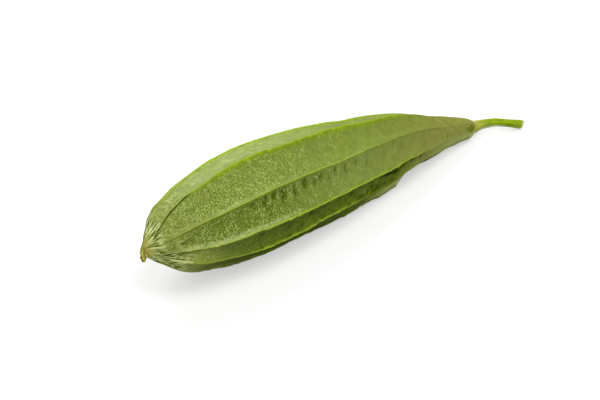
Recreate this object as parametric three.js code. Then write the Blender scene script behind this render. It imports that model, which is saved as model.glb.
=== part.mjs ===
// A ridge gourd as picked, lying on a level surface: the ribbed fruit, the cut stem that it hung by,
// and the withered remains of its blossom at the other end. Millimetres, +Z up.
// The fruit lies along X with its stem towards +X. The origin is the middle of the underside of the
// box round the whole gourd, so the surface that it lies on is the plane z = 0.

import * as THREE from "three";

// ---- driving dimensions -------------------------------------------------------------------------

const touchGap = 0.35; // clearance between pieces that touch

// Fruit. A distance is measured from the blossom end towards the stem, along the straight line
// between the two ends.
const fruitLength = 250;
const archRise = 6.4; // how far the middle of the fruit rises over that straight line
const archSkew = 0.3; // moves the top of the arch towards the stem
const neckBend = [0.9, 0.7]; // how far the collar leans towards -Y and down from that line
const neckBendStart = 0.84; // share of the length where that lean starts
const restingPitch = 5.43; // degrees, stem end down, as the fruit settles on its belly

// [distance, radius] of the ridge crests, from the blossom end to the collar under the stem.
const crestOutline = [
  [0, 0], [1.5, 2.7], [7.5, 9.2], [20, 18.7], [40, 24.4], [70, 27.7], [105, 26.2],
  [145, 22.4], [180, 17.9], [212, 11.4], [234, 7.8], [242.5, 6.8], [247.2, 5.3], [250, 3.9],
];
const stationsAlong = 46;

// Ridges. Their angles run round the fruit from -Y over the top, and no two gaps are alike.
const ridgeAngles = [150, 120, 82, 40, 2, -25, -72, -108, -143, -177];
const ridgeTwist = 7; // degrees that every ridge turns from one end to the other
const twistCentre = 0.34; // share of the length where the angles above are true
const crestShare = 0.065; // height of a crest over its panel, as a share of the crest radius
const crestSharpness = 5; // how quickly a crest falls away to the panel
const crestsStart = 14; // distance over which the crests rise from the blossom end
const crestsFade = [150, 240]; // distances between which they sink into the neck
const neckCrest = 0.15; // what is left of them there
const sectionSteps = [0, 0.06, 0.2, 0.5, 0.8, 0.94]; // points of the section from ridge to ridge

// Stem. The route starts on the collar and bends sideways along the surface.
const stemRoute = [
  [touchGap, 0, 0], [3, 0, -0.4], [6.4, -1, -0.3], [10.8, -3.1, 0.2], [14.9, -5.8, 0.6],
  [20.7, -11.7, 0.9], [25.6, -16.8, 0.9],
];
// [share of the length, radius]
const stemOutline = [
  [0, 3.8], [0.06, 3.5], [0.14, 2.9], [0.26, 2.45], [0.5, 2.25], [0.8, 2.15], [0.965, 2.2],
];
const stemEndRadius = 1.6; // flat of the cut, inside its rounded rim
const stemStations = 20;
const stemSides = 16;

// Withered blossom. The route starts on the nub of the blossom end and hangs down.
const blossomRoute = [
  [-touchGap, 0, 0], [-1.4, -0.3, -0.3], [-1.7, -1.1, -1.6], [-1.1, -1.9, -3.5], [-0.4, -2.4, -5.3],
];
const blossomOutline = [[0, 1], [0.15, 1.5], [0.35, 1.7], [0.55, 1.2], [0.8, 1.35], [0.97, 0.7]];
const blossomStations = 9;
const blossomSides = 10;

// ---- curves and frames --------------------------------------------------------------------------

// The middle line of the fruit: straight between its ends but for a slight arch.
class FruitArch extends THREE.Curve {
  getPoint(share, target = new THREE.Vector3()) {
    const lean = 1 - archSkew * (1 - 2 * share);
    const bend = THREE.MathUtils.smoothstep(share, neckBendStart, 1);
    const rise = archRise * 4 * share * (1 - share) * lean;
    return target.set(fruitLength * share, -neckBend[0] * bend, rise - neckBend[1] * bend);
  }
}

// A smooth curve through a list of points.
function routeThrough(points, origin) {
  const vectors = points.map((point) => new THREE.Vector3(...point).add(origin));
  return new THREE.CatmullRomCurve3(vectors, false, "centripetal");
}

// The two directions across a curve: one towards its right-hand side, one away from the surface.
function acrossAt(curve, share, reference) {
  const along = curve.getTangent(share);
  const side = along.clone().cross(reference).normalize();
  return { side, rise: side.clone().cross(along) };
}

// A smooth outline through [position, radius] pairs, closed on the axis at both ends.
function closedProfile(pairs, count) {
  const points = pairs.map(([position, radius]) => new THREE.Vector3(radius, position, 0));
  const spline = new THREE.CatmullRomCurve3(points, false, "centripetal");
  const profile = spline.getSpacedPoints(count).map(({ x, y }) => new THREE.Vector2(x, y));
  if (profile[0].x > 0) profile.unshift(new THREE.Vector2(0, profile[0].y));
  profile.push(new THREE.Vector2(0, profile.at(-1).y));
  return profile;
}

// A turned shape whose rings are set across a curve. pointAt gives the turn and the radius of a
// point on ring station, side step of the shape.
function turnedAlong(curve, profile, sides, reference, shareAt, pointAt) {
  const geometry = new THREE.LatheGeometry(profile, sides);
  const position = geometry.getAttribute("position");
  profile.forEach((ring, station) => {
    const share = shareAt(ring.y);
    const centre = curve.getPoint(share);
    const { side, rise } = acrossAt(curve, share, reference);
    for (let step = 0; step <= sides; step++) {
      const { turn, radius } = pointAt(step % sides, share, ring.x);
      const point = centre
        .clone()
        .addScaledVector(side, radius * Math.cos(turn))
        .addScaledVector(rise, radius * Math.sin(turn));
      position.setXYZ(step * profile.length + station, point.x, point.y, point.z);
    }
  });
  geometry.computeVertexNormals();
  return geometry;
}

// ---- fruit --------------------------------------------------------------------------------------

// How much of the full crest height a station has.
function crestStrength(distance) {
  const rising = THREE.MathUtils.smoothstep(distance, 0, crestsStart);
  const sinking = THREE.MathUtils.smoothstep(distance, ...crestsFade);
  return rising * (1 - (1 - neckCrest) * sinking);
}

// The section is a polygon with a crest on each corner. share runs from one ridge to the next.
function sectionRadius(crestRadius, gap, share, strength) {
  const chord = Math.cos(gap / 2) / Math.cos(gap * (share - 0.5));
  const flat = THREE.MathUtils.lerp(1, chord, 0.35 + 0.65 * strength);
  const nearCrest = Math.abs(1 - 2 * share) ** crestSharpness;
  return crestRadius * flat * (1 - crestShare * strength * (1 - nearCrest));
}

function makeFruit() {
  const steps = sectionSteps.length;
  const pointAt = (step, share, crestRadius) => {
    const ridge = Math.floor(step / steps);
    const from = ridgeAngles[ridge];
    const to = ridge + 1 < ridgeAngles.length ? ridgeAngles[ridge + 1] : ridgeAngles[0] - 360;
    const between = sectionSteps[step % steps];
    const twist = ridgeTwist * (share - twistCentre);
    const turn = THREE.MathUtils.degToRad(THREE.MathUtils.lerp(from, to, between) + twist);
    const gap = THREE.MathUtils.degToRad(from - to);
    const strength = crestStrength(share * fruitLength);
    return { turn, radius: sectionRadius(crestRadius, gap, between, strength) };
  };
  const geometry = turnedAlong(
    new FruitArch(),
    closedProfile(crestOutline, stationsAlong),
    ridgeAngles.length * steps,
    new THREE.Vector3(0, 0, 1),
    (distance) => distance / fruitLength,
    pointAt,
  );
  const skin = new THREE.MeshStandardMaterial({ color: 0x8a9a49, roughness: 0.55, metalness: 0 });
  const mesh = new THREE.Mesh(geometry, skin);
  mesh.name = "fruit";
  return mesh;
}

// ---- stem and blossom ---------------------------------------------------------------------------

// A round tapering piece along a route, turned the same way as the fruit.
function makeTaper(name, route, outline, stations, sides, reference, material) {
  const pointAt = (step, share, radius) => ({ turn: (-2 * Math.PI * step) / sides, radius });
  const profile = closedProfile(outline, stations);
  const mesh = new THREE.Mesh(
    turnedAlong(route, profile, sides, reference, (share) => share, pointAt),
    material,
  );
  mesh.name = name;
  return mesh;
}

function makeStem() {
  const route = routeThrough(stemRoute, new FruitArch().getPoint(1));
  const outline = [...stemOutline, [1, stemEndRadius]];
  const green = new THREE.MeshStandardMaterial({ color: 0x8fa83a, roughness: 0.45, metalness: 0 });
  return makeTaper("stem", route, outline, stemStations, stemSides, new THREE.Vector3(0, 0, 1), green);
}

function makeBlossom() {
  const route = routeThrough(blossomRoute, new THREE.Vector3());
  const outline = [...blossomOutline, [1, 0]];
  const dry = new THREE.MeshStandardMaterial({ color: 0x8d7a36, roughness: 0.85, metalness: 0 });
  const sideways = new THREE.Vector3(0, 1, 0);
  return makeTaper("blossom_remains", route, outline, blossomStations, blossomSides, sideways, dry);
}

// ---- the gourd as it lies -----------------------------------------------------------------------

const gourd = new THREE.Group();
gourd.add(makeFruit(), makeStem(), makeBlossom());
gourd.rotation.y = THREE.MathUtils.degToRad(restingPitch);
gourd.updateMatrixWorld(true);

const box = new THREE.Box3().setFromObject(gourd, true);
const middle = box.getCenter(new THREE.Vector3());
gourd.position.set(-middle.x, -middle.y, -box.min.z);

const part = new THREE.Group();
part.add(gourd);

export default part;
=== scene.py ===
import math
from types import SimpleNamespace

import bpy
import numpy as np
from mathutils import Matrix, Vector, noise


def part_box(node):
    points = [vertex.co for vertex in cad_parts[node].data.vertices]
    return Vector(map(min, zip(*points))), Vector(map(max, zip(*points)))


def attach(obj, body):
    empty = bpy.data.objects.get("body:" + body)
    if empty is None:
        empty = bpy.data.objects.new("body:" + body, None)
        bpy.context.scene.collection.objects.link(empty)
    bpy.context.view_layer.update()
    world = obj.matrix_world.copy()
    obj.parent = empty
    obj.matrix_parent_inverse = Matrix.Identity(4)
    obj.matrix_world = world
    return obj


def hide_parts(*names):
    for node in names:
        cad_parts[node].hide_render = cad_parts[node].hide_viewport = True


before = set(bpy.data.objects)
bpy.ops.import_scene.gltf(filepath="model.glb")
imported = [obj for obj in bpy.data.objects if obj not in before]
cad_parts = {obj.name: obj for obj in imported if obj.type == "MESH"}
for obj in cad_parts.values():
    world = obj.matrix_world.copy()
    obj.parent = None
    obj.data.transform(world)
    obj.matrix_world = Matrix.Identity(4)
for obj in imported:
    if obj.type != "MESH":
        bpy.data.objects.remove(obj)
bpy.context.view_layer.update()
bpy.ops.object.select_all(action="DESELECT")

# The gourd's own axes: millimetres, x along it from the blossom end, -y its near side, z up.
# Its middle line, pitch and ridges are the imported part's, and its outline is close to it.
gourd = {
    "length": 250,
    "archRise": 6.4,
    "archSkew": 0.3,
    "neckBend": (0.9, 0.7),  # sideways and down
    "neckBendStart": 0.84,
    "pitch": 5.43,
}


def smoothstep(value, low, high):
    share = np.clip((value - low) / (high - low), 0, 1)
    return share * share * (3 - 2 * share)


def between(value, start, full, leave, end):  # sets in from start to full, and goes from leave to end
    return smoothstep(value, start, full) * (1 - smoothstep(value, leave, end))


def fromTo(value, first, last, fade):  # from a first height to a last one over the fade
    return first + (last - first) * smoothstep(value, *fade)


def hump(value, width):  # 1 at zero, falling away smoothly over the width
    return np.exp(-((value / width) ** 2))


def throughPoints(value, pairs):  # smooth curve through (place, height) pairs
    places, heights = np.array(pairs, float).T
    slopes = np.gradient(heights, places)
    value = np.clip(value, places[0], places[-1])
    after = np.clip(np.searchsorted(places, value), 1, len(places) - 1)
    before = after - 1
    step = places[after] - places[before]
    t = (value - places[before]) / step
    return (
        heights[before] * (2 * t**3 - 3 * t**2 + 1)
        + heights[after] * (3 * t**2 - 2 * t**3)
        + slopes[before] * step * (t**3 - 2 * t**2 + t)
        + slopes[after] * step * (t**3 - t**2)
    )


def noiseAt(*axes):  # gradient noise, about -1 to 1, at three arrays or numbers
    points = np.broadcast_arrays(*axes)
    flat = np.stack([axis.ravel() for axis in points], 1)
    values = np.array([noise.noise(point) for point in flat.tolist()])
    return values.reshape(points[0].shape)


def middleLine(share):
    rise = gourd["archRise"] * 4 * share * (1 - share) * (1 - gourd["archSkew"] * (1 - 2 * share))
    bend = smoothstep(share, gourd["neckBendStart"], 1)
    side, drop = gourd["neckBend"]
    return np.stack([gourd["length"] * share, -side * bend, rise - drop * bend], -1)


def acrossMiddleLine(share):  # directions to the near side and the top
    along = middleLine(share + 1e-4) - middleLine(share - 1e-4)
    along /= np.linalg.norm(along, axis=-1, keepdims=True)
    side = np.cross(along, [0, 0, 1])
    side /= np.linalg.norm(side, axis=-1, keepdims=True)
    return side, np.cross(side, along)


def pitched(points):  # points turned by the gourd's resting pitch
    pitch = math.radians(gourd["pitch"])
    turn = np.array([
        [math.cos(pitch), 0, math.sin(pitch)],
        [0, 1, 0],
        [-math.sin(pitch), 0, math.cos(pitch)],
    ])
    return np.asarray(points, float) @ turn.T


# Places and radii spread evenly over the surface of a turned outline, its flat ends included.
def alongOutline(outline, climb, crowding):
    fine = np.linspace(outline[0][0], outline[-1][0], 4000)
    places = np.concatenate([fine[:1], fine, fine[-1:]])
    radii = np.concatenate([[0], throughPoints(fine, outline), [0]])
    walked = np.append(0, np.cumsum(np.hypot(np.diff(places), np.diff(radii))))
    reached = walked[-1] * (climb - crowding * np.sin(2 * math.pi * climb) / (2 * math.pi))
    return np.interp(reached, walked, places), np.interp(reached, walked, radii)


# A sphere, and for each vertex its ring, counted from the lower pole, and its step round.
def ringedSphere(name, around, rings):
    bpy.ops.mesh.primitive_uv_sphere_add(segments=around, ring_count=rings, radius=1)
    piece = bpy.context.object
    piece.name = piece.data.name = name
    places = np.empty(len(piece.data.vertices) * 3, np.float32)
    piece.data.vertices.foreach_get("co", places)
    x, y, z = places.reshape(-1, 3).astype(float).T
    ring = np.rint(np.arccos(np.clip(-z, -1, 1)) / math.pi * rings).astype(int)
    step = np.rint(np.arctan2(y, x) / (2 * math.pi) * around).astype(int) % around
    return piece, ring, step


def setAttribute(mesh, name, values):  # one value or one vector for each vertex
    values = np.asarray(values, np.float32)
    kind, field = ("FLOAT", "value") if values.ndim == 1 else ("FLOAT_VECTOR", "vector")
    mesh.attributes.new(name, kind, "POINT").data.foreach_set(field, values.ravel())


def moveVertices(mesh, millimetres):
    mesh.vertices.foreach_set("co", (millimetres * 0.001).astype(np.float32).ravel())
    mesh.update()


ridgeCount = 10


def forEach(usual, own):  # a value for each ridge or panel: the usual one, or its own
    return tuple(own.get(k, usual) for k in range(ridgeCount))


# Lengths are in mm, and distances are from the blossom end. Ridges are counted from the far side
# over the top, and below a ridge is after it: panel 3 is below ridge 3, and ridge place 3.5 is the
# middle of it. A reach is (starts, full, leaves, ends), and a start or a fade is its (from, to).
fruit = {
    "outline": (  # (distance, radius at the crests)
        (0, 0), (0.5, 1.9), (1.5, 3.3), (7.5, 9.2), (20, 18.5), (40, 24.4), (70, 27.7), (105, 26.2),
        (145, 22.4), (180, 17.9), (212, 11.4), (232, 8), (236, 7.35), (239.5, 6.5), (242.6, 5.4),
        (245.4, 4.15),
    ),
    "ridgeAngles": (150, 120, 82, 40, 2, -25, -72, -108, -143, -177),  # above the near side
    "ridgeTwist": 7,
    "twistCentre": 0.34,
    "crestStrays": {  # how far some crests stray downwards, as (distance, mm)
        2: (
            (0, 2), (5, 2), (11, 0.2), (18, -0.7), (30, -0.6), (42, -0.6), (52, -0.3), (57, -0.4),
            (61, 0), (70, 0.1), (78, 0.9), (100, 0.8), (120, 0.7), (190, 0.4), (205, 1), (222, 1),
            (240, 0.6),
        ),
        3: (
            (0, 1.6), (12, 1.5), (20, 1.2), (50, 1.35), (75, 1.1), (92, 1.4), (110, 1.75), (130, 1.1),
            (150, 0.8), (165, 0.1), (180, -0.2), (195, 0.3), (210, 1), (240, 0.2),
        ),
        4: (
            (0, 1.8), (10, 1.6), (20, 0.8), (40, 0.4), (52, -0.3), (70, 0.15), (100, 0.95), (120, 1.3),
            (135, 1.8), (150, 1.5), (170, 0.4), (180, 1), (190, 1.7), (200, 1.2), (215, 0),
        ),
        5: (
            (0, 0.5), (30, 1), (110, 0), (125, 0.8), (140, 2.4), (152, 2.6), (161, 2), (168, 0.3),
            (180, 0),
        ),
        6: ((0, 0), (50, 0), (90, -2.5), (142, -4.5), (168, -5), (185, -1), (195, 0)),
    },
    "strayRadius": 6,  # a stray turns the ridge as if the fruit were at least this wide
    "wander": (0.5, 38),  # how far every crest strays at random, and over what length
    "ragged": (0.3, 5),  # and how far it does so between its nicks
    "crestRagged": (0.8, 1, 1.2, 0.5, 1.1, 1.3, 1, 0.8, 0.8, 1),  # how uneven each crest is
    "nicks": (0.7, 0.6, 0.9, 0.3, 1.2, 1.5, 0.7, 0.6, 0.7, 0.6),  # how far each crest steps at its nicks
    "nickSpacing": 10,
    "nickDrift": (2.2, 17),  # how unevenly the nicks follow one another, and over what length
    "nickReturn": (0.85, 1),  # the part of the spacing in which the crest steps back
    "nickMiddle": 0.43,
    "nickReach": (14, 32, 175, 215),
    "nickPatches": (16, (-0.3, 0.5)),  # they come in stretches: over what length, and how sparsely
    "stepsPerGap": 24,  # vertices from one ridge to the next
    "rings": 410,
    "crestCrowding": 0.1,  # crowds the vertices towards the crests
    "endCrowding": 0.3,  # crowds the rings towards both ends
    "crestsStart": (3, 16),
    "crestsFade": (165, forEach(243, {4: 218, 5: 225})),
    "neckCrests": forEach(0.12, {4: -0.45, 5: 0}),  # what is left of each there, below 0 for rounder
    "leastFlat": 0.35,  # how flat a panel stays where its crests are gone, 1 for a straight chord
    "panelHollow": 0.048,  # how far a panel sinks below its crests, as a share of the radius
    "hollowShape": 2.3,
    "settles": (0.6, 0.06, (135, 205)),  # how much leaner the outline is, first and at the neck
    "rimHeights": (0.4, 0.3, 0.8, 0.4, 0.7, 0.75, 0.8, 0.8, 0.8, 0.7),  # thin raised rim of each crest
    "rimWidth": 0.6,
    "rimShape": 1.7,
    "rimsStart": (
        (6, 25), (6, 22), (10, 40), (12, 34), (17, 32), (32, 60), (20, 45), (15, 40), (12, 35),
        (10, 30),
    ),
    "rimFade": forEach((135, 205), {3: (112, 165), 5: (105, 138)}),
    "rimLeft": 0.1,  # what is left of it after that, as a share
    "rimWaves": ((0.35, 9, 3.7), (0.45, 2.6, 40)),  # how uneven it is, over what length, and a key
    "trims": (  # where it is leaner, or fuller below 0: (distance, angle, length, degrees wide, mm)
        (188, -52, 8, 45, 1.3), (158, -48, 12, 14, -1.7), (168, -50, 3.5, 16, -1),
        (208, -62, 9, 30, -0.9), (228, -60, 8, 25, -0.4), (125, -48, 32, 15, -3),
        (26, -100, 9, 45, -0.9), (242, -47, 5, 25, -1), (228, 118, 20, 50, 0.9),
        (207, 112, 9, 40, 0.9), (145, 112, 9, 40, 0.6), (5, 160, 4.5, 50, 2.2), (26, 150, 7, 50, 1.3),
    ),
    "swellings": (  # (mm, length, waves round, key, start)
        (0.35, 26, 1.6, 4, (5, 30)),
        (0.1, 9, 3.4, 14, (20, 50)),
    ),
    "swellingFade": (234, 245),
    "creases": (  # sharp furrows by crests, painted dark as shade: (ridge, side, from, to, strength, mm off), side 1 is below
        (1, -1, 2, 24, 0.8, 0.6), (2, 1, 1, 33, 1, 0.35), (2, 1, 28, 58, 0.3, 0.4),
        (3, 1, 6, 60, 0.55, 0.6), (3, -1, 6, 34, 0.4, 0.7), (4, 1, 2, 30, 1, 0.45),
        (4, 1, 2, 24, 0.7, 0.75), (5, -1, 128, 164, 0.45, 0.6), (7, 1, 4, 50, 0.8, 0.6),
        (9, -1, 3, 60, 0.8, 0.6),
    ),
    "creaseDepth": 0.5,
    "creaseWidth": 0.3,
    "creaseStart": 6,
    "creaseEnd": 0.3,  # the share of its length in which a crease dies away
    "creasesBreak": (36, 50),  # further on they come and go
    "creasePatches": (7, (-0.25, 0.2)),  # over what length, and how sparsely
    "arcs": (  # furrows across, painted dark as shade: (distance, ridge place, half width in panels, bend, mm, strength)
        (10.8, 3.5, 0.65, -9, 0.45, 0.45),
        (134.5, 4.76, 0.14, 80, 0.6, 0.8),
    ),
    "arcDepth": 0.35,
    "dentByPanel": (0.3, 0.05, 0.15, 0.3, 0.7, 0.4, 0.8, 0.5, 0.9, 0.5),  # how many at random
    "dentReach": (45, 75, 150, 205),
    "dentDepth": 0.9,
    "dentNoise": (3.3, 1.5, 0.9),  # over what length, waves round, and how far they slant
    "dentFloor": 0.02,
    "dentPatches": (15, 2.6, (-0.35, 0.2)),  # over what length, waves round, and how sparsely
    "dentsBelow": (1, 0.2, (0.45, 0.8)),  # how deep they are, first and last, across a panel
    "dentWander": (1.2, 2.2),
    "dents": (  # dents, or bumps below 0: (distance, ridge place, half length in panels, width, mm)
        (50, 3.16, 0.14, 1.6, 0.52), (54, 3.32, 0.16, 1.1, -0.325), (57.5, 3.2, 0.22, 1.6, 0.845),
        (61, 3.28, 0.2, 1, -0.52), (64.5, 3.18, 0.16, 1.5, 0.78), (70, 3.24, 0.26, 1.6, 0.975),
        (74, 3.42, 0.2, 1.2, -0.455), (77.5, 3.36, 0.24, 1.3, 0.65), (81, 3.44, 0.2, 1.2, -0.39),
        (60, 3.62, 0.16, 1.4, 0.39), (85, 3.2, 0.18, 2, 0.715), (92, 3.3, 0.2, 1.4, 0.455),
        (97, 3.22, 0.14, 1.8, 0.52), (103, 3.4, 0.22, 1.3, 0.39), (108, 3.2, 0.16, 1.6, 0.52),
        (116, 3.3, 0.24, 1.5, 0.455), (124, 3.22, 0.16, 1.8, 0.39), (133, 3.4, 0.2, 1.6, 0.325),
        (150, 3.35, 0.16, 3, 0.195), (166, 3.45, 0.16, 3, 0.195), (88, 2.8, 0.1, 1.2, 0.26),
        (97, 1.6, 0.1, 1.2, 0.325), (149, 4.28, 0.1, 3, 1.17), (154, 4.36, 0.14, 2.6, 1.56),
        (159, 4.54, 0.14, 1.8, 1.43), (162.5, 4.4, 0.16, 1.4, 1.17), (166, 4.3, 0.2, 1.4, 0.78),
        (173, 4.26, 0.16, 3, 0.65), (131, 4.7, 0.16, 1.6, -0.65), (138, 4.62, 0.14, 1.4, 0.65),
        (182, 4.3, 0.2, 2.6, 0.455), (148, 4.5, 0.2, 2.8, -0.39), (157, 4.6, 0.15, 2.4, -0.39),
        (164, 4.62, 0.2, 1.6, -0.26), (140, 4.4, 0.2, 2.6, -0.325), (144, 4.22, 0.12, 2.4, 0.585),
        (136, 4.2, 0.14, 1.8, 0.455), (127, 4.55, 0.3, 2.2, -0.26), (119, 4.4, 0.2, 2, 0.39),
        (109, 4.3, 0.14, 2.4, 0.39), (98, 4.5, 0.2, 1.6, 0.26), (87, 4.35, 0.16, 2.2, 0.26),
        (7.6, 3.68, 0.09, 1, 0.39), (12.3, 3.6, 0.24, 0.9, -0.65), (15.6, 3.58, 0.08, 2, 0.91),
        (14.5, 3.84, 0.09, 1.2, 0.39),
    ),
    "pleats": 20,  # folds of the blossom end that are deep enough to shape it
    "pleatHeight": 0.3,
    "pleatWarp": (3, 7, 2.2),  # how unevenly they run, in radians, over what length, and waves round
    "foldStart": (0.2, 1.5),
    "foldReach": (18, 13, 9.5, 9, 22, 26, 24, 22, 22, 20),  # how far the fine folds run in each panel
    "foldFade": (0.55, 1),  # as shares of that
    "crumple": (0.3, 6, 3.2),  # mm, length, waves round
    "crumpleReach": (1, 4, 12, 30),
    "foldRadius": (1, 8),  # they flatten where the end is thinner than this
    "crestLines": forEach(1, {3: 0.6, 5: 0.9}),  # how plain each crest's line is
    "crestLineStart": (0.4, 0.6),  # as shares of its rim's start
    "crestLime": (0.7, 1, 1, 0.2, 0.5, 0.5, 0.7, 0.7, 0.6, 0.6),  # how yellow it is
    "limeStart": (25, 60),
    "flushBelow": forEach(  # greener skin beside each crest: (strength, mm)
        (0.5, 3), {0: (0.8, 3), 1: (0.75, 3.5), 2: (0.75, 3.2), 3: (0.25, 2), 6: (0.6, 3), 9: (0.6, 3)}
    ),
    "flushAbove": forEach((0.4, 2), {0: (0.5, 3), 2: (0.4, 1.4), 3: (0, 1), 4: (0.2, 1.6), 5: (0.1, 2)}),
    "flushEdge": (0.15, 1),  # where it fades, as shares of its width
    "flushReach": (15, 45, 150, 215),
    "paintedSheenAbove": forEach(  # and a painted sheen above it
        (0.3, 3), {0: (0.2, 3), 1: (0.2, 3), 2: (0, 3), 3: (0.25, 3), 4: (0.7, 2.8), 5: (0, 3)}
    ),
    "paleEdge": (0.45, 1),
    "paleAboveFade": (40, 100),
    # painted sheen over the top panels
    "paintedSheenPanels": forEach(0, {0: 0.1, 1: 0.29}),
    "paleReach": (8, 18, 65, 145),
    "panelShadeTone": (0.15, 0.05, 0.28, 0.65, 0.86, 0.8, 0.55, 0.7, 0.5, 0.35),  # how deep each panel's green is painted: painted shade, deepest on the lower panels
    "panelBlend": 0.12,  # the share of a panel in which it changes to the next one's kind of skin
    "toneStart": forEach((3, 16), {4: (12, 60), 5: (14, 60), 6: (12, 50), 7: (5, 30)}),
    "toneFade": forEach((140, 195), {1: (120, 180), 2: (190, 240), 3: (50, 122), 4: (155, 180)}),
    "stipple": (0.6, 0.3, 1, 1.05, 0.5, 0.4, 0.8, 0.8, 0.7, 0.7),  # how strong each panel's flecks are
    "stippleStart": (7, 22),
    "stippleFade": (1.1, 0.14, (40, 135)),  # strong first, then weak
    "dashed": (0.4, 0.4, 1, 1, 0.15, 0.2, 0.6, 0.6, 0.6, 0.6),  # how strong its sparse dashes are
    "dashedReach": (25, 50, 85, 165),
    "bubbles": (0.9, 0.9, 0.55, 0.45, 0.7, 0.4, 0.5, 0.5, 0.5, 0.5),  # and its pale blisters
    "bubblesReach": (3, 8, 20, 32),
    # painted light from below, on the undersides of the neck and of the blossom end
    "paintedLightUnderNeck": ((0.3, -0.25), (176, 218)),  # how far round the painted light on its underside starts, and how far along
    "paintedLightUnderEnd": ((0.2, -0.35), (14, 36)),
    "dentShade": 1.4,  # how plainly a dent or bump of 1 mm is coloured, with painted shade in a dent and a painted highlight on a bump
    "paintedLightPatches": ((160, 5.6, 26, 5.2), (12.3, 3.55, 0.9, 3)),  # (distance, ridge place, length, width): painted light, under the neck and on a bump near the blossom end
    # painted shadows in panel 4, under its crest and in a crack: (distance, ridge place, length, width)
    "shadowPatches": (
        (149, 4.34, 3.5, 0.9), (153.5, 4.43, 3, 1.2), (158, 4.52, 2.4, 1.1), (161.5, 4.56, 1.5, 0.8),
        (181.5, 4.48, 2, 0.8), (134, 4.76, 1.2, 1.8), (130, 4.86, 2.5, 0.8), (119, 4.5, 2, 0.8),
        (142, 4.86, 4, 0.7),
    ),
    "spots": (
        (237.6, 3.72, 3.9, 2.3), (233.6, 3.6, 2.2, 0.55), (210, 3.76, 1.2, 1), (228, 7.3, 1.4, 1.1),
    ),
    "offCrest": {  # how far from a crest the marks set in
        "randomDents": (0.9, 3), "dents": (0.7, 2), "stipple": (0.5, 1.6), "dashed": (0.3, 1),
        "bubbles": (0.5, 1.5), "paintedSheenPanels": (0.3, 1.4), "paintedLightPatches": (0.4, 1.2), "shadeTone": (0, 1.2),
    },
    "seed": 3.7,
}


def ridgeLine(ridge, distance):  # angle of a ridge in radians along the fruit
    laps, index = divmod(ridge, ridgeCount)
    angle = fruit["ridgeAngles"][index] - 360 * laps
    angle = angle + fruit["ridgeTwist"] * (distance / gourd["length"] - fruit["twistCentre"])
    key = index * 5.3 + fruit["seed"]
    wander, length = fruit["wander"]
    stray = wander * noiseAt(distance / length, key, 0)
    ragged, length = fruit["ragged"]
    stray += ragged * fruit["crestRagged"][index] * noiseAt(distance / length, key, 8)

    # at a nick the crest steps back after it has drifted off
    drift, length = fruit["nickDrift"]
    phase = distance / fruit["nickSpacing"] + drift * noiseAt(distance / length, key, 21)
    saw = phase - np.floor(phase)
    reach = between(distance, *fruit["nickReach"])
    length, patchy = fruit["nickPatches"]
    reach = reach * smoothstep(noiseAt(distance / length, key, 33), *patchy)
    saw = saw - smoothstep(saw, *fruit["nickReturn"]) - fruit["nickMiddle"]
    stray += fruit["nicks"][index] * saw * reach

    if index in fruit["crestStrays"]:
        stray -= throughPoints(distance, fruit["crestStrays"][index])
    radius = np.maximum(throughPoints(distance, fruit["outline"]), fruit["strayRadius"])
    return np.radians(angle) + stray / radius


# Where each vertex of the sphere goes along and round the fruit, in arrays.
def spreadOverFruit(ring, step):
    at = SimpleNamespace(ring=ring)
    climbs = np.arange(fruit["rings"] + 1) / fruit["rings"]
    at.levels, outlineRadii = alongOutline(fruit["outline"], climbs, fruit["endCrowding"])
    at.distance = at.levels[ring]
    at.crestRadius = outlineRadii[ring]
    at.panel, within = np.divmod(step, fruit["stepsPerGap"])
    across = within / fruit["stepsPerGap"]
    at.across = across - fruit["crestCrowding"] * np.sin(2 * math.pi * across)
    at.ridgePlace = at.panel + at.across

    at.lines = np.stack([ridgeLine(k, at.levels) for k in range(ridgeCount + 1)])
    above = at.lines[at.panel, ring]
    at.gap = above - at.lines[at.panel + 1, ring]
    at.turn = above - at.gap * at.across
    at.ringX = np.cos(at.turn)
    at.ringY = np.sin(at.turn)

    at.crestGap = np.minimum(at.across, 1 - at.across) * at.gap * at.crestRadius
    at.side = np.where(at.across < 0.5, 1, -1)
    at.nearest = np.where(at.across < 0.5, at.panel, at.panel + 1) % ridgeCount
    return at


def skinNoise(at, length, waves, key):  # noise that closes round the fruit
    return noiseAt(at.distance / length, at.ringX * waves, at.ringY * waves + key)


def offCrest(at, marks):  # keeps marks off the crests
    return smoothstep(at.crestGap, *fruit["offCrest"][marks])


def ofRidge(at, name):  # what the nearest ridge has
    return np.array(fruit[name])[at.nearest].T


def ofPanel(at, name):
    return np.array(fruit[name])[at.panel].T


def byRidge(at, values):  # from one ridge's value to the next one's across each panel
    upper = np.take(values, at.panel)
    lower = np.take(values, (at.panel + 1) % ridgeCount)
    return upper * (1 - at.across) + lower * at.across


def byPanel(at, values):  # each panel's own value, blended at the ridges
    values = np.array(values, float)
    onRidge = ((values + np.roll(values, 1)) / 2)[at.nearest]
    inPanel = smoothstep(0.5 - np.abs(at.across - 0.5), 0, fruit["panelBlend"])
    return onRidge + (values[at.panel] - onRidge) * inPanel


def panelRadius(at):  # flat panels, hollowed a little and rounding out towards the neck
    strength = smoothstep(at.distance, *fruit["crestsStart"])
    fadeStart, fadeEnds = fruit["crestsFade"]
    faded = smoothstep(at.distance, fadeStart, byRidge(at, fadeEnds))
    fold = strength * (1 - (1 - byRidge(at, fruit["neckCrests"])) * faded)
    chord = np.cos(at.gap / 2) / np.cos(at.gap * (at.across - 0.5))
    flat = 1 + (chord - 1) * (fruit["leastFlat"] + (1 - fruit["leastFlat"]) * fold)
    profile = 1 - np.abs(1 - 2 * at.across) ** fruit["hollowShape"]
    hollow = fruit["panelHollow"] * np.maximum(fold, 0) * profile
    settled = strength * fromTo(at.distance, *fruit["settles"])
    return at.crestRadius * flat * (1 - hollow) - settled


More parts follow.
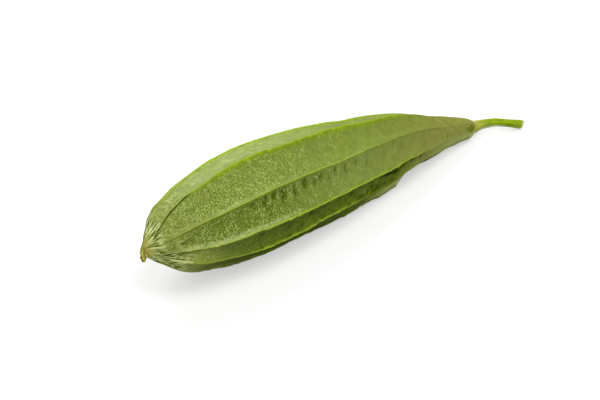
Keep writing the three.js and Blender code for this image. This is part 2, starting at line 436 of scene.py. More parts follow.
def rimHeight(at):  # thin rim on the crest, uneven along its length
    uneven = np.stack([
        1 + ragged * sum(
            share * noiseAt(at.levels / length, k * 3.1, key) for share, length, key in fruit["rimWaves"]
        )
        for k, ragged in enumerate(fruit["crestRagged"])
    ])
    strength = smoothstep(at.distance, *ofRidge(at, "rimsStart"))
    strength = strength * fromTo(at.distance, 1, fruit["rimLeft"], ofRidge(at, "rimFade"))
    height = ofRidge(at, "rimHeights") * strength * uneven[at.nearest, at.ring]
    return height * np.exp(-np.abs(at.crestGap / fruit["rimWidth"]) ** fruit["rimShape"])


def swellingHeight(at):  # the slow unevenness of the whole skin
    height = np.zeros_like(at.distance)
    for most, length, waves, key, start in fruit["swellings"]:
        height += most * skinNoise(at, length, waves, key) * smoothstep(at.distance, *start)
    return height * (1 - smoothstep(at.distance, *fruit["swellingFade"]))


def furrows(at):  # how dark the furrows are painted as shade, and how deep
    dark = np.zeros_like(at.distance)
    deep = np.zeros_like(at.distance)
    for ridge, side, low, high, strength, off in fruit["creases"]:
        here = (at.nearest == ridge) & (at.side == side)
        leaves = high - fruit["creaseEnd"] * (high - low)
        reach = between(at.distance, low, low + fruit["creaseStart"], leaves, high)
        length, patchy = fruit["creasePatches"]
        kept = smoothstep(noiseAt(at.levels / length, 2.3 * ridge, 60), *patchy)[at.ring]
        reach = reach * (1 - smoothstep(at.distance, *fruit["creasesBreak"]) * (1 - kept))
        furrow = here * reach * strength * hump(at.crestGap - off, fruit["creaseWidth"])
        dark += furrow
        deep += fruit["creaseDepth"] * furrow
    for place, centre, half, bend, width, strength in fruit["arcs"]:
        off = at.ridgePlace - centre
        furrow = hump(at.distance - place - bend * off**2, width) * hump(off, half) * strength
        dark += furrow
        deep += fruit["arcDepth"] * furrow
    return dark, deep


def dentDepth(at):  # dents across the panels: some at random, and the larger ones one by one
    where = between(at.distance, *fruit["dentReach"]) * ofPanel(at, "dentByPanel")
    length, waves, patchy = fruit["dentPatches"]
    where = where * offCrest(at, "randomDents") * smoothstep(skinNoise(at, length, waves, 20), *patchy)
    where = where * fromTo(at.across, *fruit["dentsBelow"])
    length, waves, slant = fruit["dentNoise"]
    slanted = at.distance / length + slant * at.across
    groove = noiseAt(slanted, at.ringX * waves + 9, at.ringY * waves) - fruit["dentFloor"]
    dent = fruit["dentDepth"] * np.maximum(0, groove) * where
    wander, waves = fruit["dentWander"]
    clear = offCrest(at, "dents")
    for place, centre, half, width, depth in fruit["dents"]:
        bent = at.distance - place - wander * noiseAt(at.across * waves, place, 0)
        dent += depth * hump(bent, width) * hump(at.ridgePlace - centre, half) * clear
    return dent


def folds(at):  # folds that run together at the blossom end: where they are, and their height
    folded = 1 - smoothstep(at.distance / byPanel(at, fruit["foldReach"]), *fruit["foldFade"])
    folded = folded * smoothstep(at.distance, *fruit["foldStart"])
    warped, length, waves = fruit["pleatWarp"]
    warp = skinNoise(at, length, waves, 30)
    pleats = fruit["pleatHeight"] * np.cos(fruit["pleats"] * at.turn + warped * warp) * folded
    most, length, waves = fruit["crumple"]
    crumple = most * noiseAt(at.distance / length, at.ringX * waves - warp, at.ringY * waves + 50)
    crumple = crumple * between(at.distance, *fruit["crumpleReach"])
    return folded, (pleats + crumple) * smoothstep(at.crestRadius, *fruit["foldRadius"])


def softPatches(at, marks):  # how strongly soft-edged ovals mark the skin
    most = np.zeros_like(at.distance)
    for place, ridgePlace, length, width in marks:
        index = int(ridgePlace)
        centre = at.lines[index] + (at.lines[index + 1] - at.lines[index]) * (ridgePlace - index)
        arc = (at.turn - centre[at.ring]) * at.crestRadius
        off = ((at.distance - place) / length) ** 2 + (arc / width) ** 2
        most = np.maximum(most, np.exp(-(off**2)))
    return most


def crestMeasures(at):  # the skin on each crest and beside it, and the painted sheen above it and on the top panels
    crest = ofRidge(at, "crestLines") * fromTo(at.distance, 1, fruit["rimLeft"], ofRidge(at, "rimFade"))
    low, high = np.array(fruit["crestLineStart"])[:, None] * ofRidge(at, "rimsStart")
    crest = crest * smoothstep(at.distance, low, high)
    lime = ofRidge(at, "crestLime") * smoothstep(at.distance, *fruit["limeStart"])

    strength, width = np.where(at.side > 0, ofRidge(at, "flushBelow"), ofRidge(at, "flushAbove"))
    flush = strength * (1 - smoothstep(at.crestGap / width, *fruit["flushEdge"]))
    flush = flush * between(at.distance, *fruit["flushReach"])

    strength, width = ofRidge(at, "paintedSheenAbove")
    pale = strength * (at.side < 0) * (1 - smoothstep(at.crestGap / width, *fruit["paleEdge"]))
    pale = pale * (1 - smoothstep(at.distance, *fruit["paleAboveFade"]))
    panels = ofPanel(at, "paintedSheenPanels") * offCrest(at, "paintedSheenPanels")
    pale = np.maximum(pale, panels) * between(at.distance, *fruit["paleReach"])
    return {"crest": crest, "lime": lime, "flush": flush, "paintedSheenBand": pale}


def panelMeasures(at):  # the skin of each panel, and the painted shade that deepens the lower panels
    start = np.array(fruit["toneStart"]).T[..., None]
    fade = np.array(fruit["toneFade"]).T[..., None]
    tones = np.array(fruit["panelShadeTone"])[:, None] * between(at.levels[None], *start, *fade)
    beside = (at.panel - at.side) % ridgeCount
    middle = (tones[at.panel, at.ring] + tones[beside, at.ring]) / 2
    shadeTone = middle + (tones[at.panel, at.ring] - middle) * offCrest(at, "shadeTone")

    stipple = ofPanel(at, "stipple") * fromTo(at.distance, *fruit["stippleFade"])
    stipple = stipple * smoothstep(at.distance, *fruit["stippleStart"]) * offCrest(at, "stipple")
    dashed = ofPanel(at, "dashed") * between(at.distance, *fruit["dashedReach"]) * offCrest(at, "dashed")
    blistered = between(at.distance, *fruit["bubblesReach"]) * byPanel(at, fruit["bubbles"])
    blistered = blistered * offCrest(at, "bubbles")
    return {"shadeTone": shadeTone, "stipple": stipple, "dashed": dashed, "blistered": blistered}


def makeFruit():
    piece, ring, step = ringedSphere("gourdFruit", ridgeCount * fruit["stepsPerGap"], fruit["rings"])
    at = spreadOverFruit(ring, step)
    share = at.distance / gourd["length"]
    creases, creaseDepth = furrows(at)
    dents = dentDepth(at)
    folded, foldHeight = folds(at)

    radius = panelRadius(at) + rimHeight(at) + swellingHeight(at) - creaseDepth - dents
    for place, angle, length, wide, depth in fruit["trims"]:
        off = np.degrees(np.arccos(np.cos(at.turn - math.radians(angle))))
        radius -= depth * hump(off, wide) * hump(at.distance - place, length)
    radius = np.maximum(radius + foldHeight, 0) * (at.crestRadius > 0)
    radius = radius * smoothstep(at.crestRadius, -0.5, 0.6)  # rounds off both poles
    toSide, toTop = acrossMiddleLine(share)
    offset = at.ringX[:, None] * toSide + at.ringY[:, None] * toTop
    points = pitched(middleLine(share) + radius[:, None] * offset)

    # its lowest point touches the surface, and its blossom end is where the frame has it
    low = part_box("fruit")[0]
    shift = np.array([low.x * 1000 - points[:, 0].min(), 0, -points[:, 2].min()])
    moveVertices(piece.data, points + shift)
    bpy.ops.object.shade_smooth()

    neckRound, neckStart = fruit["paintedLightUnderNeck"]
    endRound, endFade = fruit["paintedLightUnderEnd"]
    measures = {
        "share": share,
        "crestGap": at.crestGap,
        **crestMeasures(at),
        **panelMeasures(at),
        # painted shade in the furrows
        "crease": creases,
        # painted shade in the dents and a painted highlight on the bumps
        "dent": np.clip(fruit["dentShade"] * dents, 0, 1),
        "raised": np.clip(-fruit["dentShade"] * dents, 0, 1),
        "folded": folded,
        # painted light from below, on the undersides of the neck and of the blossom end
        "paintedLightUnderNeck": smoothstep(at.ringY, *neckRound) * smoothstep(at.distance, *neckStart),
        "paintedLightUnderEnd": smoothstep(at.ringY, *endRound) * (1 - smoothstep(at.distance, *endFade)),
        # painted light on a patch under the neck and on a bump near the blossom end
        "paintedLightPatch": softPatches(at, fruit["paintedLightPatches"]) * offCrest(at, "paintedLightPatches"),
        # painted shadow under ridge 4's crest and in a crack
        "shadowPatch": softPatches(at, fruit["shadowPatches"]),
        "spot": softPatches(at, fruit["spots"]),
        "round": np.stack([at.ringX, at.ringY, at.distance], 1),
    }
    for name, values in measures.items():
        setAttribute(piece.data, name, values)
    return piece, shift


print("fruit")
fruitPiece, restShift = makeFruit()


def linear(hexColour):  # sRGB hex to the linear values that shaders use
    parts = [int(hexColour[i : i + 2], 16) / 255 for i in (1, 3, 5)]
    return (*[p / 12.92 if p <= 0.04045 else ((p + 0.055) / 1.055) ** 2.4 for p in parts], 1)


def addNode(tree, kind, settings=None, links=None):  # settings by name or socket, links by socket
    made = tree.nodes.new(kind)
    for name, value in (settings or {}).items():
        if isinstance(name, int) or name in made.inputs.keys():
            made.inputs[name].default_value = value
        else:
            setattr(made, name, value)
    for socket, source in (links or {}).items():
        tree.links.new(source, made.inputs[socket])
    return made


def newMaterial(name):
    material = bpy.data.materials.new(name)
    material.use_nodes = True
    tree = material.node_tree
    tree.nodes.clear()
    return material, tree


rampEnds = ("From Min", "From Max", "To Min", "To Max")  # what a ramp's four numbers set


# What a look is painted by: the measures kept on the mesh, and patterns sized in mm.
def findSources(tree, look):
    sources = {}
    for name in look["measures"]:
        sources[name] = addNode(tree, "ShaderNodeAttribute", {"attribute_name": name}).outputs["Fac"]
    place = addNode(tree, "ShaderNodeTexCoord")
    for name, (kind, size, detail) in look["patterns"].items():
        if kind == "folds":  # sized round the axis in turns and along it in mm
            start = addNode(tree, "ShaderNodeAttribute", {"attribute_name": "round"}).outputs["Vector"]
            scale = (size[0], size[0], 1 / size[1])
        else:
            start = place.outputs["Object"]
            scale = tuple(1000 / s for s in size)
        scaled = addNode(tree, "ShaderNodeMapping", {"Scale": scale}, {"Vector": start})
        if kind != "cells":
            settings = {"Scale": 1, "Detail": detail, "Distortion": 0.5 if kind == "folds" else 0}
            made = addNode(tree, "ShaderNodeTexNoise", settings, {"Vector": scaled.outputs[0]})
            sources[name] = made.outputs["Fac"]
        else:
            made = addNode(tree, "ShaderNodeTexVoronoi", {"Scale": 1}, {"Vector": scaled.outputs[0]})
            apart = addNode(tree, "ShaderNodeSeparateColor", links={0: made.outputs["Color"]})
            sources[name] = made.outputs["Distance"]
            sources[name + "Pick"] = apart.outputs[0]
    return sources


def paintLayers(tree, look, sources):  # lays each colour over the last, by its ramps' product
    colour = None
    for name, *ramps in look["layers"]:
        factor = None
        for source, *ends in ramps:
            part = sources[source]
            if ends:
                settings = dict(zip(rampEnds, ends), interpolation_type="SMOOTHSTEP")
                part = addNode(tree, "ShaderNodeMapRange", settings, {"Value": part}).outputs[0]
            if factor is not None:
                settings = {"operation": "MULTIPLY"}
                part = addNode(tree, "ShaderNodeMath", settings, {0: factor, 1: part}).outputs[0]
            factor = part
        settings = {"data_type": "RGBA", 6: linear(look["ground"]), 7: linear(look[name])}
        links = {0: factor} if colour is None else {0: factor, 6: colour}
        colour = addNode(tree, "ShaderNodeMix", settings, links).outputs[2]
    return colour


def makeMaterial(name, look):
    material, tree = newMaterial(name)
    sources = findSources(tree, look)
    colour = paintLayers(tree, look, sources)
    pattern, *ends = look["mottling"]
    value = addNode(tree, "ShaderNodeMapRange", dict(zip(rampEnds, ends)), {"Value": sources[pattern]})
    links = {"Value": value.outputs[0], "Color": colour}
    mottled = addNode(tree, "ShaderNodeHueSaturation", links=links)
    pattern, *ends = look["roughness"]
    gloss = addNode(tree, "ShaderNodeMapRange", dict(zip(rampEnds, ends)), {"Value": sources[pattern]})
    bump = None
    for pattern, strength, depth, *masks in look["bumps"]:
        height = sources[pattern]
        for mask in masks:
            links = {0: height, 1: sources[mask]}
            height = addNode(tree, "ShaderNodeMath", {"operation": "MULTIPLY"}, links).outputs[0]
        links = {"Height": height} if bump is None else {"Height": height, "Normal": bump.outputs[0]}
        bump = addNode(tree, "ShaderNodeBump", {"Strength": strength, "Distance": depth * 0.001}, links)
    shader = addNode(
        tree, "ShaderNodeBsdfPrincipled", {"IOR": 1.45, "Specular IOR Level": look["specular"]},
        {"Base Color": mottled.outputs[0], "Roughness": gloss.outputs[0], "Normal": bump.outputs[0]},
    )
    addNode(tree, "ShaderNodeOutputMaterial", links={"Surface": shader.outputs[0]})
    return material


# Rind of a young gourd as it grew, with its own thin wax: a soft satin sheen, pale flecks drawn out
# across the panels, and a thin line of yellower green on each crest.
rind = {
    "ground": "#7a893d",
    "pale": "#7e8b3a",
    # painted shade: the deep green of the lower panels
    "deep": "#526600",
    "neck": "#80833b",
    # painted light from below, on the undersides of the neck and of the blossom end
    "paintedLightUnderNeck": "#a2ac5c",
    "paintedLightUnderEnd": "#a3ae44",
    # painted light on a patch under the neck and on a bump near the blossom end
    "paintedLightPatch": "#b1b96e",
    "blossomEnd": "#7f8b3c",
    "nearCrest": "#749000",
    "crestPale": "#9cab42",
    # painted sheen above the crests and over the top panels
    "paintedSheenBand": "#b2be78",
    "crestLine": "#8aa816",
    "fleck": "#b0bc6e",
    "dash": "#acba6c",
    "streak": "#ccd3a4",
    # painted highlight on the bumps
    "raised": "#8a9a4c",
    "between": "#4d6410",
    # painted shade in the dents
    "dent": "#465400",
    "blister": "#a9b570",
    # painted highlight on the folds of the blossom end
    "fold": "#d2da92",
    "shade": "#2c3a00",
    "dull": "#667412",
    # painted shade in the hollows between folds and between blisters
    "gap": "#4a5c14",
    # painted shade in the furrows by the crests and across the panels
    "crease": "#161f02",
    "spot": "#666e00",
    "tip": "#b3ab45",
    "measures": (
        "share", "crestGap", "crest", "lime", "flush", "paintedSheenBand", "shadeTone", "stipple", "dashed",
        "blistered", "crease", "dent", "raised", "folded", "paintedLightUnderNeck", "paintedLightUnderEnd", "paintedLightPatch",
        "shadowPatch", "spot",
    ),
    "patterns": {  # kind, size in mm along the fruit, across and upwards, and detail
        "blotch": ("noise", (24, 24, 24), 3),
        "mottle": ("noise", (3.4, 3.4, 3.4), 2),
        "flecks": ("noise", (0.5, 0.85, 0.85), 1),
        "patches": ("noise", (9, 9, 9), 2),
        "sheen": ("noise", (11, 11, 11), 3),
        "grains": ("cells", (0.8, 1.8, 1.8), 0),
        "dashes": ("cells", (1.15, 3.2, 3.2), 0),
        "blisters": ("noise", (1.5, 0.85, 0.85), 2),
        "folds": ("folds", (15, 4.5), 2),  # how many round it, and mm along it
        "rays": ("folds", (7, 9), 1),
        "lumps": ("noise", (5, 3.2, 3.2), 2),
        "streaks": ("noise", (9, 1.2, 1.2), 2),
    },
    "layers": (  # colour, then its ramps: source, and low and high of it as start and stop
        ("pale", ("blotch", 0.35, 0.65, 0, 1)),
        ("neck", ("share", 0.5, 0.85, 0, 1)),
        # painted shade, deepest on the lower panels
        ("deep", ("shadeTone",)),
        # painted light from below on the undersides
        ("paintedLightUnderNeck", ("paintedLightUnderNeck",)),
        ("paintedLightUnderEnd", ("paintedLightUnderEnd",)),
        # painted light on the lit patches
        ("paintedLightPatch", ("paintedLightPatch",)),
        ("blossomEnd", ("share", 0.02, 0.12, 0.8, 0)),
        ("nearCrest", ("flush",)),
        # painted sheen above the crests and over the top panels
        ("paintedSheenBand", ("paintedSheenBand",), ("blisters", 0.4, 0.56, 0.65, 1), ("lumps", 0.35, 0.55, 0.75, 1)),
        ("streak", ("streaks", 0.5, 0.66, 0, 0.24), ("paintedSheenBand", 0.1, 0.35, 0, 1)),
        ("nearCrest", ("streaks", 0.46, 0.36, 0, 0.2), ("paintedSheenBand", 0.1, 0.35, 0, 1)),
        # painted highlight on the bumps
        ("raised", ("raised", 0, 0.8, 0, 0.75)),
        ("dull", ("lumps", 0.5, 0.62, 0, 0.6), ("shadeTone", 0.55, 0.9, 0, 1)),
        # painted shade between the lumps, in the panels painted in shade
        ("shade", ("lumps", 0.47, 0.36, 0, 0.5), ("shadeTone", 0.55, 0.9, 0, 1)),
        ("between", ("flecks", 0.49, 0.38, 0, 0.7), ("stipple",), ("patches", 0.35, 0.6, 0.55, 1)),
        ("fleck", ("flecks", 0.53, 0.65, 0, 0.62), ("stipple",), ("patches", 0.35, 0.6, 0.5, 1)),
        # painted shade in the dents, deeper in the panels painted in shade
        ("dent", ("dent", 0, 0.9, 0, 0.85)),
        ("shade", ("dent", 0.2, 1, 0, 0.85), ("shadeTone", 0.62, 0.85, 0, 1)),
        # painted shadow under ridge 4's crest and in a crack
        ("shade", ("shadowPatch", 0.05, 0.9, 0, 0.66), ("blisters", 0.34, 0.52, 0.5, 1)),
        ("fleck", ("grains", 0.16, 0.4, 0.6, 0), ("grainsPick", 0.45, 0.55, 0, 1), ("stipple",)),
        ("dash", ("dashes", 0.14, 0.36, 0.75, 0), ("dashesPick", 0.5, 0.55, 0, 1), ("dashed",)),
        ("blister", ("blisters", 0.5, 0.62, 0, 0.9), ("blistered",)),
        # painted shade in the hollows between the blisters
        ("gap", ("blisters", 0.46, 0.36, 0, 0.5), ("blistered",)),
        ("crestPale", ("crestGap", 0.22, 0.62, 0.9, 0), ("crest", 0, 1, 0, 1)),
        (
            "crestLine", ("crestGap", 0.3, 1.1, 1, 0), ("lime",), ("crest",),
            ("mottle", 0.38, 0.6, 0.2, 1),
        ),
        # painted shade between the blossom end's folds, and a painted highlight on them
        ("gap", ("folds", 0.47, 0.4, 0, 0.9), ("folded",)),
        ("fold", ("folds", 0.48, 0.56, 0, 1), ("folded",)),
        ("gap", ("rays", 0.5, 0.4, 0, 0.7), ("share", 0.008, 0.036, 1, 0), ("folded",)),
        ("tip", ("share", 0.003, 0.019, 0.85, 0), ("rays", 0.42, 0.54, 0.2, 1)),
        # painted shade in the furrows
        ("crease", ("crease", 0.25, 0.8, 0, 0.92)),
        ("spot", ("spot", 0.1, 0.9, 0, 0.9)),
    ),
    "mottling": ("mottle", 0.3, 0.7, 0.9, 1.14),
    "roughness": ("sheen", 0.35, 0.65, 0.42, 0.58),
    "bumps": (("flecks", 0.5, 0.15), ("folds", 0.8, 0.6, "folded"), ("blisters", 0.7, 0.5, "blistered")),
    "specular": 0.03,
}

print("rind")
fruitPiece.data.materials.append(makeMaterial("waxyGourdRind", rind))
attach(fruitPiece, "root")
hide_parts("fruit")


# A strand along a smooth route from its base, all in mm.
def makeStrand(name, base, shape):
    piece, ring, step = ringedSphere(name, shape["around"], shape["rings"])
    route = np.array(shape["route"], float)
    walked = np.append(0, np.cumsum(np.linalg.norm(np.diff(route, axis=0), axis=1)))
    length = walked[-1]
    outline = [(share * length, radius) for share, radius in shape["outline"]]
    levels, radii = alongOutline(outline, np.arange(shape["rings"] + 1) / shape["rings"], 0)

    def onRoute(places):
        return np.stack([throughPoints(places, np.stack([walked, axis], 1)) for axis in route.T], -1)

    nearby = 0.02
    ahead = onRoute(levels + nearby) - onRoute(levels - nearby)
    ahead /= np.linalg.norm(ahead, axis=1, keepdims=True)
    sides = [np.cross(ahead[0], shape["upwards"])]
    for direction in ahead:  # the directions across are carried along without turning
        side = sides[-1] - direction * np.dot(direction, sides[-1])
        sides.append(side / np.linalg.norm(side))
    side = np.array(sides[1:])
    top = np.cross(side, ahead)

    share = levels[ring] / length
    lap = 2 * math.pi * step / shape["around"]
    turn = lap + math.radians(shape["twist"]) * share
    radius = radii[ring]
    ribs, ribDepth = shape["ribs"]
    rib = np.cos(ribs * lap)
    waves = 1.3
    keyX, keyY = np.cos(lap) * waves + shape["seed"], np.sin(lap) * waves
    crumple, size = shape["crumple"]
    rough = crumple * noiseAt(share * length / size, keyX, keyY) * smoothstep(radius, 0, 0.6)
    folded = smoothstep(share, *shape["ribsStart"])
    section = radius * (1 + ribDepth * rib * folded) + rough * folded
    across = (np.cos(turn) * section)[:, None] * side[ring]
    across += (np.sin(turn) * section * shape["flatten"])[:, None] * top[ring]

    # the far end: cut on the slant or torn
    near = smoothstep(share, 1 - shape["endReach"], 1)
    finer = 1.7
    ragged = shape["ragged"] * noiseAt(keyX * finer, keyY * finer, 5)
    cutAngle = math.radians(shape["cutAngle"])
    slant = shape["slant"] * np.cos(turn - cutAngle) * radius
    endShare = np.where(share > 1 - 1e-6, radius / shape["outline"][-1][1], 2)  # 2 for off the end
    depth, width = shape["pith"]
    sunken = -depth * hump(endShare, width)
    shift = near * (slant + ragged * smoothstep(radius, 0, 0.5)) + sunken
    points = onRoute(levels)[ring] + across + shift[:, None] * ahead[ring]
    moveVertices(piece.data, pitched(points + base) + restShift)
    bpy.ops.object.shade_smooth()
    setAttribute(piece.data, "along", share)
    setAttribute(piece.data, "upness", np.cos(turn) * side[ring, 2] + np.sin(turn) * top[ring, 2])
    setAttribute(piece.data, "rib", rib)
    setAttribute(piece.data, "fromPith", endShare)
    return piece


stem = {
    "around": 100,
    "rings": 200,
    "route": (  # from the middle line's end at the neck
        (-6.5, 0.1, 0.5), (-4, 0.05, 0.2), (-1, 0, -0.15), (3, 0, -0.2), (6.4, -1, 0.05),
        (10.8, -3.1, 0.45), (14.9, -5.8, 0.5), (20.7, -11.7, 0.3), (25.1, -16.3, 0.05),
    ),
    "outline": (  # (share of its length, radius)
        (0, 3.5), (0.05, 4.1), (0.1, 3.95), (0.16, 3.6), (0.22, 3.3), (0.28, 3.05), (0.36, 2.75),
        (0.55, 2.4), (0.82, 2.3), (0.962, 2.4), (0.982, 2.25), (0.994, 1.95), (1, 1.6),
    ),
    "upwards": (0, 0, 1),
    "ribs": (5, 0.045),  # how many, and their height as a share of the radius
    "ribsStart": (0.07, 0.25),
    "twist": 35,
    "flatten": 1,
    "crumple": (0.1, 4),  # mm, and over what length
    "endReach": 0.1,
    "slant": 0.3,  # of the cut, as a share of the radius
    "cutAngle": 140,
    "ragged": 0.15,
    "pith": (0.3, 0.4),  # how far it is sunken, and its share of the cut
    "seed": 12,
}

# Green stalk of the gourd, full of sap: bright and smooth, paler where it swells into the fruit
# and on its cut.
stalk = {
    "ground": "#a6ac3c",
    "green": "#7e9402",
    "bright": "#8ca602",
    # painted light on the underside
    "under": "#dde4b4",
    # painted shade in the grooves between the ribs
    "groove": "#6f8c10",
    "scar": "#b3a57a",
    "cut": "#b9c77e",
    "ringLine": "#8aa23a",
    "pith": "#d9dfb4",
    "measures": ("along", "upness", "rib", "fromPith"),
    "patterns": {
        "streak": ("noise", (6, 1.4, 1.4), 2),
        "patches": ("noise", (5, 5, 5), 2),
        "sheen": ("noise", (3, 3, 3), 2),
    },
    "layers": (
        ("green", ("along", 0.18, 0.48, 0, 1)),
        ("bright", ("along", 0.32, 0.58, 0, 1), ("streak", 0.35, 0.65, 0, 1)),
        # painted light on the underside
        (
            "under", ("upness", 0, -0.5, 0, 0.9), ("along", 0.12, 0.3, 0.3, 1),
            ("along", 0.55, 0.8, 1, 0.15),
        ),
        # painted shade in the grooves between the ribs
        ("groove", ("rib", -0.3, -1, 0, 0.4), ("along", 0.25, 0.45, 0, 1)),
        (
            "scar", ("upness", 0.45, 0.95, 0, 0.35), ("along", 0.08, 0.13, 0, 1),
            ("along", 0.2, 0.3, 1, 0),
        ),
        ("cut", ("along", 0.96, 0.985, 0, 0.75)),
        ("cut", ("fromPith", 1.02, 0.98, 0, 1)),
        ("ringLine", ("fromPith", 0.6, 0.68, 0, 0.7), ("fromPith", 0.85, 0.76, 0, 1)),
        ("pith", ("fromPith", 0.4, 0.2, 0, 0.9)),
    ),
    "mottling": ("patches", 0.3, 0.7, 0.93, 1.08),
    "roughness": ("sheen", 0.35, 0.65, 0.42, 0.55),
    "bumps": (("streak", 0.4, 0.25),),
    "specular": 0.12,
}

print("stem")
stemPiece = makeStrand("gourdStem", middleLine(np.array(1.0)), stem)
stemPiece.data.materials.append(makeMaterial("freshGourdStalk", stalk))
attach(stemPiece, "root")
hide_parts("stem")

blossom = {
    "strand": {  # what the withered strands share
        "around": 36,
        "rings": 60,
        "upwards": (0.6, 0.8, 0.1),
        "ribs": (5, 0.18),
        "ribsStart": (0, 0.1),
        "twist": 40,
        "flatten": 0.4,
        "crumple": (0.22, 0.7),
        "endReach": 0.35,
        "slant": 0,
        "cutAngle": 0,
        "ragged": 0.6,
        "pith": (0, 0.4),
        "outline": ((0, 0.35), (0.15, 0.5), (0.5, 0.55), (0.8, 0.4), (1, 0.12)),
    },
    "strands": (  # each one's route from the tip, and what is its own
        {
            "route": (
                (1.8, 0, 0.1), (0.5, -0.4, -0.5), (0, -0.9, -1.9), (0.1, -1.3, -3.6), (0.4, -1.7, -5.4),
            ),
            "outline": ((0, 0.9), (0.2, 1.5), (0.4, 1.5), (0.6, 1.7), (0.85, 1.3), (1, 0.6)),
            "around": 80,
            "rings": 110,
            "ribs": (3, 0.25),
            "twist": 30,
            "flatten": 0.35,
            "crumple": (0.5, 0.9),
        },
        {
            "route": ((1.6, -0.8, -0.2), (0.9, -1.8, -0.8), (0.7, -2.5, -2), (0.9, -2.9, -3.2)),
            "outline": ((0, 0.4), (0.3, 0.6), (0.7, 0.55), (1, 0.2)),
        },
        {
            "route": (
                (1.6, 0.1, 0.6), (0.4, 0, 0.9), (-0.2, -0.7, 0.6), (-0.1, -1.5, -0.3), (0.5, -2.2, -1.2),
            ),
            "outline": ((0, 0.5), (0.4, 0.55), (0.7, 0.5), (1, 0.3)),
        },
        {"route": ((1.6, 0.8, 0.2), (0.6, 1.1, 0), (0, 0.8, -0.9), (-0.2, 0.3, -1.9))},
        {
            "route": ((1.6, -1, 0.6), (1, -1.7, 0.6), (0.9, -2.3, 0.2), (1.2, -2.8, -0.6)),
            "outline": ((0, 0.35), (0.4, 0.45), (0.7, 0.4), (1, 0.2)),
        },
        {"route": ((1.3, 0.6, -0.4), (0.5, 0.9, -1), (0.3, 0.9, -2.2), (0.6, 0.7, -3.1))},
    ),
}

# Petals and calyx dried to a thin papery husk: no gloss, golden beige, with painted shade in its folds.
husk = {
    "ground": "#b2a83e",
    "pale": "#d0ca72",
    "root": "#a3a32a",
    # painted shade in the folds
    "fold": "#4c4004",
    "ends": "#a08a38",
    "measures": ("along", "rib"),
    "patterns": {
        "streak": ("noise", (0.7, 0.7, 1.6), 2),
        "patches": ("noise", (1.2, 1.2, 1.2), 2),
        "sheen": ("noise", (3, 3, 3), 1),
    },
    "layers": (
        ("pale", ("patches", 0.4, 0.6, 0, 1)),
        ("root", ("along", 0, 0.35, 0.9, 0)),
        # painted shade in the folds
        ("fold", ("rib", 0.4, -0.7, 0, 0.95), ("streak", 0.35, 0.5, 0.3, 1)),
        ("ends", ("along", 0.75, 1, 0, 0.6)),
    ),
    "mottling": ("patches", 0.3, 0.7, 0.8, 1.15),
    "roughness": ("sheen", 0.35, 0.65, 0.75, 0.85),
    "bumps": (("streak", 0.7, 0.15),),
    "specular": 0.2,
}

print("blossom remains")
blossomEnd = middleLine(np.array(0.0))
strandPieces = [
    makeStrand(f"driedStrand{i}", blossomEnd, {**blossom["strand"], "seed": 3.1 * i, **strand})
    for i, strand in enumerate(blossom["strands"])
]
for strandPiece in strandPieces:
    strandPiece.select_set(True)
bpy.context.view_layer.objects.active = strandPieces[0]
bpy.ops.object.join()
blossomPiece = bpy.context.object
blossomPiece.name = blossomPiece.data.name = "driedBlossom"
blossomPiece.data.materials.append(makeMaterial("dryPaperyHusk", husk))
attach(blossomPiece, "root")
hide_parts("blossom_remains")


studio = {
    "cameraPlace": (-0.4860, -0.4394, 0.3672),
    "cameraAzimuth": -45.96,
    "cameraElevation": 29.21,
    "lens": 85,
    "filmWidth": 36,
    "lights": {  # (place, size, power)
        "keyLight": ((0.0, -0.5, 1.1), 0.8, 9.4),
        "backLight": ((0.55, 0.85, 0.8), 0.9, 15),
        "fillLight": ((-0.9, -0.3, 0.5), 0.7, 3.5),
        "sideLight": ((0.7, -0.6, 0.3), 0.5, 1.5),
    },
    "worldStrength": 0.26,
    "floorSize": 6,
    "floorGlow": 0.5,
    "floorWhitens": (0.6, 1.3),  # metres from the gourd, as seen by the camera only
    "floorColour": "#bcbcbc",
    "floorBounce": "#b0b0b0",
    "white": "#ffffff",
}


def makeCamera():
    tilt = math.radians(90 - studio["cameraElevation"])
    turn = math.radians(studio["cameraAzimuth"])
    bpy.ops.object.camera_add(location=studio["cameraPlace"], rotation=(tilt, 0, turn))
    camera = bpy.context.object
    camera.data.lens = studio["lens"]
    camera.data.sensor_width = studio["filmWidth"]
    camera.data.clip_start = 0.01
    bpy.context.scene.camera = camera


def areaLight(name, place, size, power):
    bpy.ops.object.light_add(type="AREA", location=place)
    lamp = bpy.context.object
    lamp.name = name
    lamp.data.size = size
    lamp.data.energy = power
    lamp.rotation_euler = (-Vector(place)).to_track_quat("-Z", "Y").to_euler()


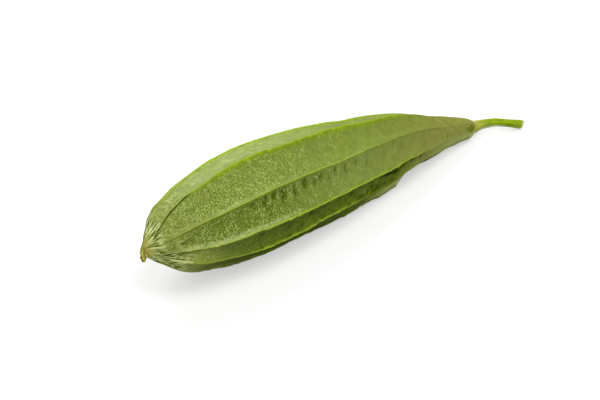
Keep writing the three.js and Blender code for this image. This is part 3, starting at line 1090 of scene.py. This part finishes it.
# White paper: the camera sees it white with the shadow on it, and the gourd gets a softer bounce.
def makeFloor():
    bpy.ops.mesh.primitive_plane_add(size=studio["floorSize"])
    floor = bpy.context.object
    floor.name = "floor"
    material, tree = newMaterial("whiteSeamlessPaper")
    path = addNode(tree, "ShaderNodeLightPath")
    bounce = addNode(tree, "ShaderNodeBsdfDiffuse", {"Color": linear(studio["floorBounce"])})
    paper = addNode(tree, "ShaderNodeBsdfDiffuse", {"Color": linear(studio["floorColour"])})
    place = addNode(tree, "ShaderNodeTexCoord")
    away = addNode(tree, "ShaderNodeVectorMath", {"operation": "LENGTH"}, {0: place.outputs["Object"]})
    settings = dict(zip(rampEnds, (*studio["floorWhitens"], studio["floorGlow"], 1)))
    strength = addNode(tree, "ShaderNodeMapRange", settings, {"Value": away.outputs["Value"]})
    settings = {"Color": linear(studio["white"])}
    glow = addNode(tree, "ShaderNodeEmission", settings, {"Strength": strength.outputs[0]})
    both = addNode(tree, "ShaderNodeAddShader", links={0: paper.outputs[0], 1: glow.outputs[0]})
    links = {0: path.outputs["Is Camera Ray"], 1: bounce.outputs[0], 2: both.outputs[0]}
    seen = addNode(tree, "ShaderNodeMixShader", links=links)
    addNode(tree, "ShaderNodeOutputMaterial", links={"Surface": seen.outputs[0]})
    floor.data.materials.append(material)


def makeWorld():  # white to the camera, and a low even light for the gourd
    world = bpy.data.worlds.new("studioWorld")
    bpy.context.scene.world = world
    world.use_nodes = True
    tree = world.node_tree
    tree.nodes.clear()
    path = addNode(tree, "ShaderNodeLightPath")
    settings = {"Color": linear(studio["white"]), "Strength": studio["worldStrength"]}
    light = addNode(tree, "ShaderNodeBackground", settings)
    white = addNode(tree, "ShaderNodeBackground", {**settings, "Strength": 1})
    links = {0: path.outputs["Is Camera Ray"], 1: light.outputs[0], 2: white.outputs[0]}
    seen = addNode(tree, "ShaderNodeMixShader", links=links)
    addNode(tree, "ShaderNodeOutputWorld", links={"Surface": seen.outputs[0]})
    bpy.context.scene.view_settings.view_transform = "Standard"


print("studio")
makeCamera()
for lightName, values in studio["lights"].items():
    areaLight(lightName, *values)
makeFloor()
makeWorld()
